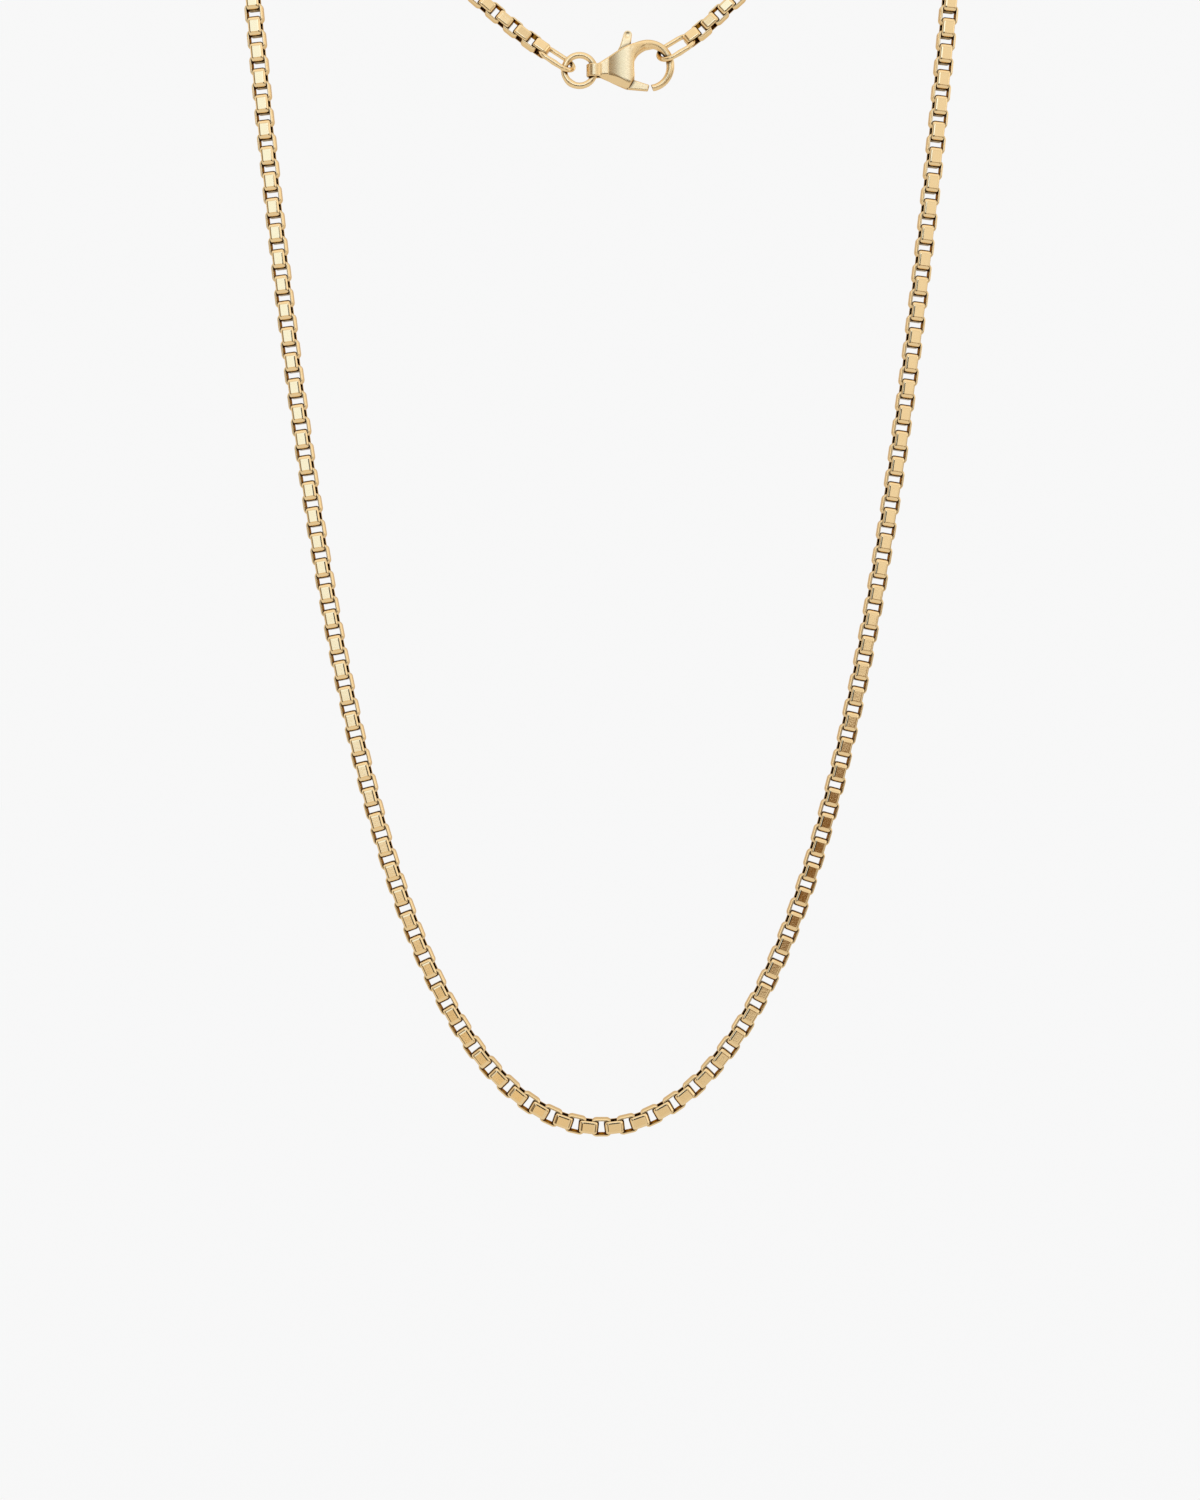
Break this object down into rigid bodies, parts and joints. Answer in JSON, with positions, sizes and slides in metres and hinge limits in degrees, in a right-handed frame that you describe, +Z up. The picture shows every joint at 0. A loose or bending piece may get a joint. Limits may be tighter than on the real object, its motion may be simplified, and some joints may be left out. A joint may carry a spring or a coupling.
{
  "type": "box chain necklace",
  "caption": "Closed neck chain of hooked square box links, hanging in a long narrow curve as when worn, with a lobster clasp, a jump ring and two soldered end loops at the back.",
  "frame": {"origin": "the neck seat: mid-way between the left and right sides of the loop and between its front and back, at the height of the highest links, where the sides of a neck carry it", "axes": "+X to the wearer's left, seen on the right of the picture, -Y to the front, +Z up"},
  "size_m": [0.0793, 0.0569, 0.1469],
  "materials": {
    "gold_links": "14 carat yellow gold, polished bends and faintly brushed flats",
    "gold_polished": "14 carat yellow gold, polished"
  },
  "bodies": {
    "necklace": {"chain_left": "gold_links", "chain_right": "gold_links", "plain_run_left": "gold_links", "plain_run_right": "gold_links", "end_loop_left": "gold_polished", "end_loop_right": "gold_polished", "jump_ring": "gold_polished", "clasp_body": "gold_polished", "lever_pin": "gold_polished"},
    "lever": {"clasp_lever": "gold_polished"}
  },
  "joints": [
    {"name": "lever_hinge", "type": "hinge", "parent": "necklace", "child": "lever", "pos_m": [0.00275, 0.02725, -0.019], "axis": [0, -1, 0], "range_deg": [0, 26], "stiffness_Nm_per_rad": 0.002, "springref_deg": -17.19}
  ]
}
